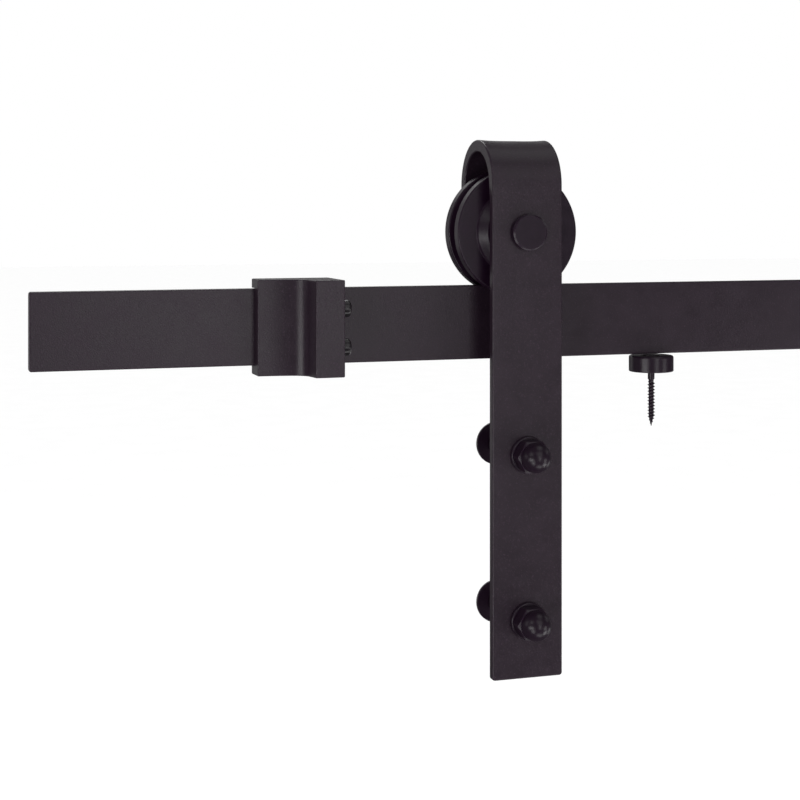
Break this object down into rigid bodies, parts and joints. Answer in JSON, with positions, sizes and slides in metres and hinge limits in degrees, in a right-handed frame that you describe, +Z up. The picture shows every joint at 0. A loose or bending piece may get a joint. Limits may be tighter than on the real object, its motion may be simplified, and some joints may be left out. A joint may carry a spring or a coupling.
{
  "type": "sliding barn door hardware",
  "caption": "Flat rail on wall standoffs with rolling J-strap door hangers, grooved wheels, end stops with bumpers, and anti-jump discs.",
  "frame": {"origin": "on the wall plane, behind the middle of the rail's length and height", "axes": "+X along the rail to the right, +Z up, +Y into the wall, so the front faces -Y"},
  "size_m": [0.9144, 0.1198, 0.287],
  "materials": {
    "powder_coat": "matt black powder coat with a fine texture",
    "wheel_black": "satin black, turned",
    "black_steel": "satin black on steel, glossier than the rail",
    "bearing_steel": "ground bearing steel",
    "rubber": "smooth black rubber"
  },
  "bodies": {
    "track": {"rail": "powder_coat", "left_wall_standoff": "powder_coat", "left_wall_bolt": "black_steel", "left_wall_bolt_washer": "black_steel", "left_stop_body": "powder_coat", "left_stop_upper_bumper": "rubber", "left_stop_lower_bumper": "rubber", "left_stop_outer_set_screw": "black_steel", "left_stop_inner_set_screw": "black_steel", "right_wall_standoff": "powder_coat", "right_wall_bolt": "black_steel", "right_wall_bolt_washer": "black_steel", "right_stop_body": "powder_coat", "right_stop_upper_bumper": "rubber", "right_stop_lower_bumper": "rubber", "right_stop_outer_set_screw": "black_steel", "right_stop_inner_set_screw": "black_steel"},
    "left_hanger": {"left_hanger_strap": "powder_coat", "left_bearing_inner_race": "bearing_steel", "left_axle_bolt": "black_steel", "left_front_spacer": "black_steel", "left_rear_spacer": "black_steel", "left_axle_washer": "black_steel", "left_axle_nut": "black_steel", "left_upper_door_bolt": "black_steel", "left_upper_rear_washer": "black_steel", "left_upper_cap_nut_washer": "black_steel", "left_upper_cap_nut": "black_steel", "left_lower_door_bolt": "black_steel", "left_lower_rear_washer": "black_steel", "left_lower_cap_nut_washer": "black_steel", "left_lower_cap_nut": "black_steel", "left_anti_jump_disc": "black_steel", "left_anti_jump_screw": "black_steel"},
    "left_wheel": {"left_wheel": "wheel_black", "left_bearing_outer_race": "bearing_steel"},
    "left_ball_cage": {"left_bearing_ball_cage": "bearing_steel"},
    "right_hanger": {"right_hanger_strap": "powder_coat", "right_bearing_inner_race": "bearing_steel", "right_axle_bolt": "black_steel", "right_front_spacer": "black_steel", "right_rear_spacer": "black_steel", "right_axle_washer": "black_steel", "right_axle_nut": "black_steel", "right_upper_door_bolt": "black_steel", "right_upper_rear_washer": "black_steel", "right_upper_cap_nut_washer": "black_steel", "right_upper_cap_nut": "black_steel", "right_lower_door_bolt": "black_steel", "right_lower_rear_washer": "black_steel", "right_lower_cap_nut_washer": "black_steel", "right_lower_cap_nut": "black_steel", "right_anti_jump_disc": "black_steel", "right_anti_jump_screw": "black_steel"},
    "right_wheel": {"right_wheel": "wheel_black", "right_bearing_outer_race": "bearing_steel"},
    "right_ball_cage": {"right_bearing_ball_cage": "bearing_steel"}
  },
  "joints": [
    {"name": "left_hanger_slide", "type": "slide", "parent": "track", "child": "left_hanger", "axis": [1, 0, 0], "range_m": [-0.077, 0.077]},
    {"name": "left_wheel_roll", "type": "hinge", "parent": "left_hanger", "child": "left_wheel", "pos_m": [-0.1985, -0.03475, 0.0489], "axis": [0, 1, 0], "continuous": true},
    {"name": "left_ball_cage_turn", "type": "hinge", "parent": "left_hanger", "child": "left_ball_cage", "pos_m": [-0.1985, -0.03475, 0.0489], "axis": [0, 1, 0], "continuous": true},
    {"name": "right_hanger_slide", "type": "slide", "parent": "track", "child": "right_hanger", "axis": [1, 0, 0], "range_m": [-0.077, 0.077]},
    {"name": "right_wheel_roll", "type": "hinge", "parent": "right_hanger", "child": "right_wheel", "pos_m": [0.1985, -0.03475, 0.0489], "axis": [0, 1, 0], "continuous": true},
    {"name": "right_ball_cage_turn", "type": "hinge", "parent": "right_hanger", "child": "right_ball_cage", "pos_m": [0.1985, -0.03475, 0.0489], "axis": [0, 1, 0], "continuous": true}
  ],
  "couplings": [
    {"joint": "left_wheel_roll", "follows": "left_hanger_slide", "rad_per_m": 34.602},
    {"joint": "left_ball_cage_turn", "follows": "left_hanger_slide", "rad_per_m": 21.453},
    {"joint": "right_hanger_slide", "follows": "left_hanger_slide", "ratio": 1},
    {"joint": "right_wheel_roll", "follows": "left_hanger_slide", "rad_per_m": 34.602},
    {"joint": "right_ball_cage_turn", "follows": "left_hanger_slide", "rad_per_m": 21.453}
  ]
}
